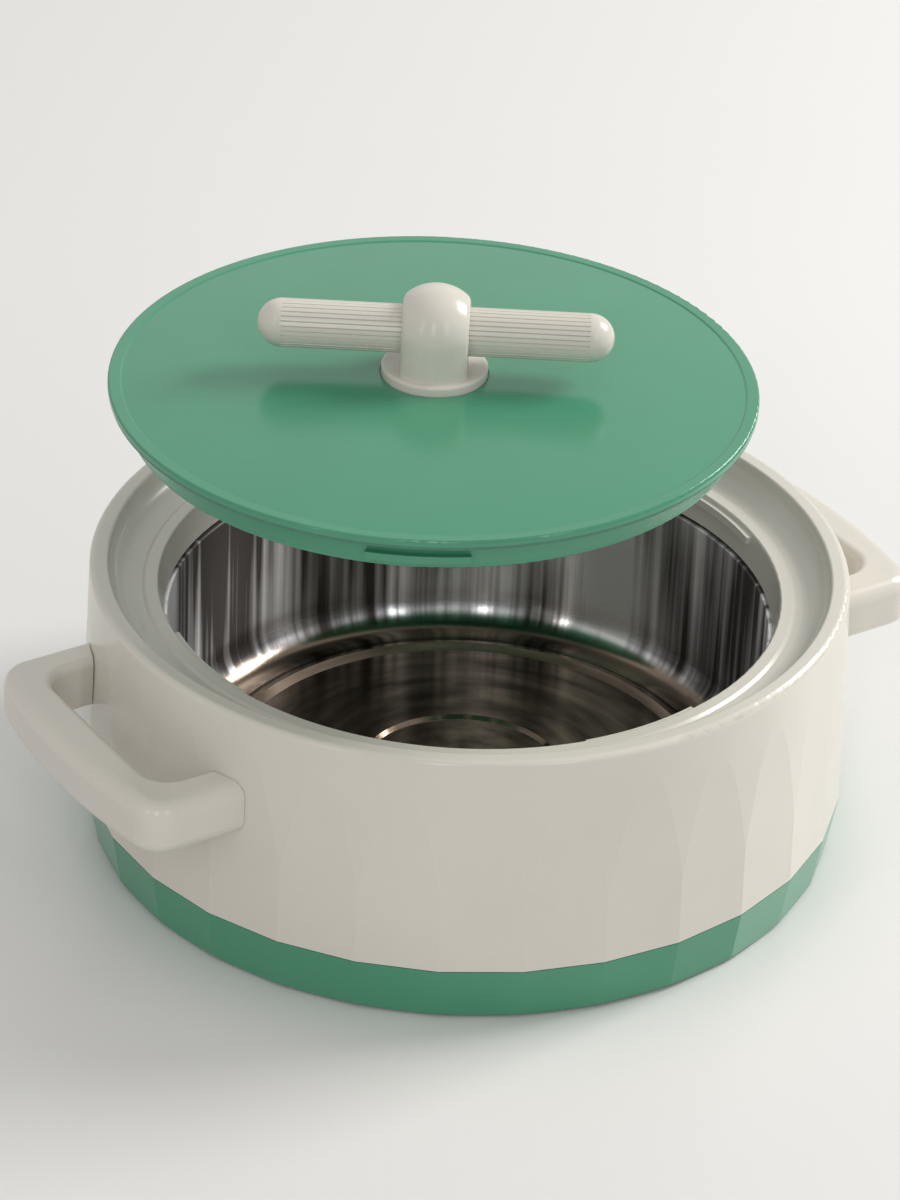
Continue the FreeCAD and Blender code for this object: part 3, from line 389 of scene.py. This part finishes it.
class CASSEROLE_OT_base(PieceOperator):
    """Finish the green base"""

    bl_idname = "casserole.base"
    bl_label = "Base cover"

    def execute(self, context):
        finish_nodes(["base_cover"], self.green("green_base"))
        return {"FINISHED"}


class CASSEROLE_OT_bowl(PieceOperator):
    """Finish the steel bowl and the dark ring above its flange"""

    bl_idname = "casserole.bowl"
    bl_label = "Bowl and gasket"

    def execute(self, context):
        finish_nodes(["inner_bowl"], bowl_steel(self.sizes, self.colours))
        rubber = plain("gasket_rubber", self.colours.gasket, RUBBER_ROUGHNESS)
        finish_nodes(["bowl_gasket"], rubber)
        return {"FINISHED"}


class CASSEROLE_OT_lid(PieceOperator):
    """Finish the lid's cover and liner, and the silicone ring under its edge in painted shade, a
    darker copy of the lid's green
    """

    bl_idname = "casserole.lid"
    bl_label = "Lid"

    def execute(self, context):
        finish_nodes(["lid_cover", "lid_liner"], self.green("green_lid"))
        # The ring under the lid's edge gets painted shade, a darker copy of the lid's green.
        silicone = plain("seal_silicone", self.colours.seal, SILICONE_ROUGHNESS)
        finish_nodes(["lid_seal"], silicone)
        return {"FINISHED"}


class CASSEROLE_OT_knob(PieceOperator):
    """Finish the knob's post and its fluted bar"""

    bl_idname = "casserole.knob"
    bl_label = "Knob"

    def execute(self, context):
        finish_nodes(["knob_post", "knob_bar"], self.cream("cream_knob"))
        return {"FINISHED"}


class CASSEROLE_OT_inside(PieceOperator):
    """Finish the hidden foam and the fasteners"""

    bl_idname = "casserole.inside"
    bl_label = "Foam and fasteners"

    def execute(self, context):
        foam = plain("foam", self.colours.foam, FOAM_ROUGHNESS,
                     grain=FOAM_CELLS, depth=FOAM_CELL_DEPTH)
        steel = plain("screw_steel", self.colours.screws, SCREW_ROUGHNESS, metallic=1.0)
        finish_nodes(["body_foam", "lid_foam"], foam)
        finish_nodes(["handle_screws", "base_screws", "knob_washer", "knob_screw"], steel)
        return {"FINISHED"}


def look_matrix():
    """The camera's place: level axes turned by the photograph's pitch, yaw and roll."""
    cp, sp = math.cos(CAMERA_PITCH), math.sin(CAMERA_PITCH)
    cy, sy = math.cos(CAMERA_YAW), math.sin(CAMERA_YAW)
    cr, sr = math.cos(CAMERA_ROLL), math.sin(CAMERA_ROLL)
    pitch = Matrix(((1, 0, 0), (0, cp, -sp), (0, sp, cp)))
    yaw = Matrix(((cy, sy, 0), (-sy, cy, 0), (0, 0, 1)))
    roll = Matrix(((cr, 0, -sr), (0, 1, 0), (sr, 0, cr)))
    right, forward, up = roll @ pitch @ yaw
    turned = Matrix((right, up, -forward)).transposed().to_4x4()
    place = Matrix.Translation((0.0, -CAMERA_BACK, CAMERA_HEIGHT))
    return Matrix.Rotation(VIEW_TURN, 4, "Z") @ place @ turned


def area_lamp(name, place, aim, size, watts, colour):
    lamp = bpy.data.lights.new(name, "AREA")
    lamp.shape = "RECTANGLE"
    lamp.size, lamp.size_y = size
    lamp.energy = watts
    lamp.color = colour
    holder = bpy.data.objects.new(name, lamp)
    bpy.context.scene.collection.objects.link(holder)
    turn = Matrix.Rotation(VIEW_TURN, 4, "Z")
    start, end = turn @ Vector(place), turn @ Vector(aim)
    holder.location = start
    holder.rotation_euler = (end - start).to_track_quat("-Z", "Y").to_euler()


class CASSEROLE_OT_stage(PieceOperator):
    """Make the floor, the world's light, the lamps and the camera"""

    bl_idname = "casserole.stage"
    bl_label = "Stage"

    def execute(self, context):
        self.make_floor()
        self.make_world()
        for lamp in LAMPS:
            area_lamp(*lamp)
        for name, degrees, width, watts, colour in FRONT_STRIPS:
            turn = math.radians(degrees)
            place = (STRIP_REACH * math.sin(turn), -STRIP_REACH * math.cos(turn), STRIP_HEIGHT)
            area_lamp(name, place, STRIP_AIM, (width, STRIP_LENGTH), watts, colour)
        self.make_camera()
        return {"FINISHED"}

    def make_floor(self):
        work = bmesh.new()
        bmesh.ops.create_grid(work, x_segments=1, y_segments=1, size=FLOOR_HALF,
                              matrix=Matrix.Translation((0.0, 0.0, -FLOOR_DROP)))
        mesh = bpy.data.meshes.new("floor_plane")
        work.to_mesh(mesh)
        work.free()
        finish = Finish("pale_floor")
        where, _ = finish.place()
        cloud = finish.noise(where, FLOOR_CLOUDS)
        tone = finish.blend(cloud, shade(self.colours.floor, FLOOR_MOTTLE), self.colours.floor)
        finish.set(Base_Color=tone, Roughness=FLOOR_ROUGHNESS)
        mesh.materials.append(finish.material)
        floor = bpy.data.objects.new("floor", mesh)
        bpy.context.scene.collection.objects.link(floor)

    def make_world(self):
        world = bpy.data.worlds.new("studio")
        world.use_nodes = True
        sky = world.node_tree.nodes["Background"]
        sky.inputs["Color"].default_value = SKY_COLOUR
        sky.inputs["Strength"].default_value = SKY_STRENGTH
        bpy.context.scene.world = world

    def make_camera(self):
        camera = bpy.data.cameras.new("photo_camera")
        camera.sensor_fit = "AUTO"
        camera.sensor_width = SENSOR
        camera.sensor_height = SENSOR
        camera.lens = LENS_PIXELS / PHOTO_HEIGHT * SENSOR
        holder = bpy.data.objects.new("photo_camera", camera)
        bpy.context.scene.collection.objects.link(holder)
        holder.matrix_world = look_matrix()
        bpy.context.scene.camera = holder


OPERATORS = (
    CASSEROLE_OT_shell, CASSEROLE_OT_base, CASSEROLE_OT_bowl, CASSEROLE_OT_lid,
    CASSEROLE_OT_knob, CASSEROLE_OT_inside, CASSEROLE_OT_stage,
)


class CASSEROLE_PT_pieces(bpy.types.Panel):
    """Lists the casserole's pieces and their settings"""

    bl_label = "Casserole"
    bl_idname = "CASSEROLE_PT_pieces"
    bl_space_type = "VIEW_3D"
    bl_region_type = "UI"
    bl_category = "Casserole"

    def draw(self, context):
        for operator in OPERATORS:
            self.layout.operator(operator.bl_idname)
        for group in (context.scene.casserole_sizes, context.scene.casserole_colours):
            for name in group.__annotations__:
                self.layout.prop(group, name)


CLASSES = (CasseroleSizes, CasseroleColours, *OPERATORS, CASSEROLE_PT_pieces)


def register():
    for cls in CLASSES:
        bpy.utils.register_class(cls)
    bpy.types.Scene.casserole_sizes = PointerProperty(type=CasseroleSizes)
    bpy.types.Scene.casserole_colours = PointerProperty(type=CasseroleColours)


def unregister():
    del bpy.types.Scene.casserole_colours
    del bpy.types.Scene.casserole_sizes
    for cls in reversed(CLASSES):
        bpy.utils.unregister_class(cls)


def main():
    register()
    bpy.context.scene.view_settings.view_transform = "Standard"
    bpy.ops.casserole.shell()
    bpy.ops.casserole.base()
    bpy.ops.casserole.bowl()
    bpy.ops.casserole.lid()
    bpy.ops.casserole.knob()
    bpy.ops.casserole.inside()
    bpy.ops.casserole.stage()


if __name__ == "__main__":
    main()
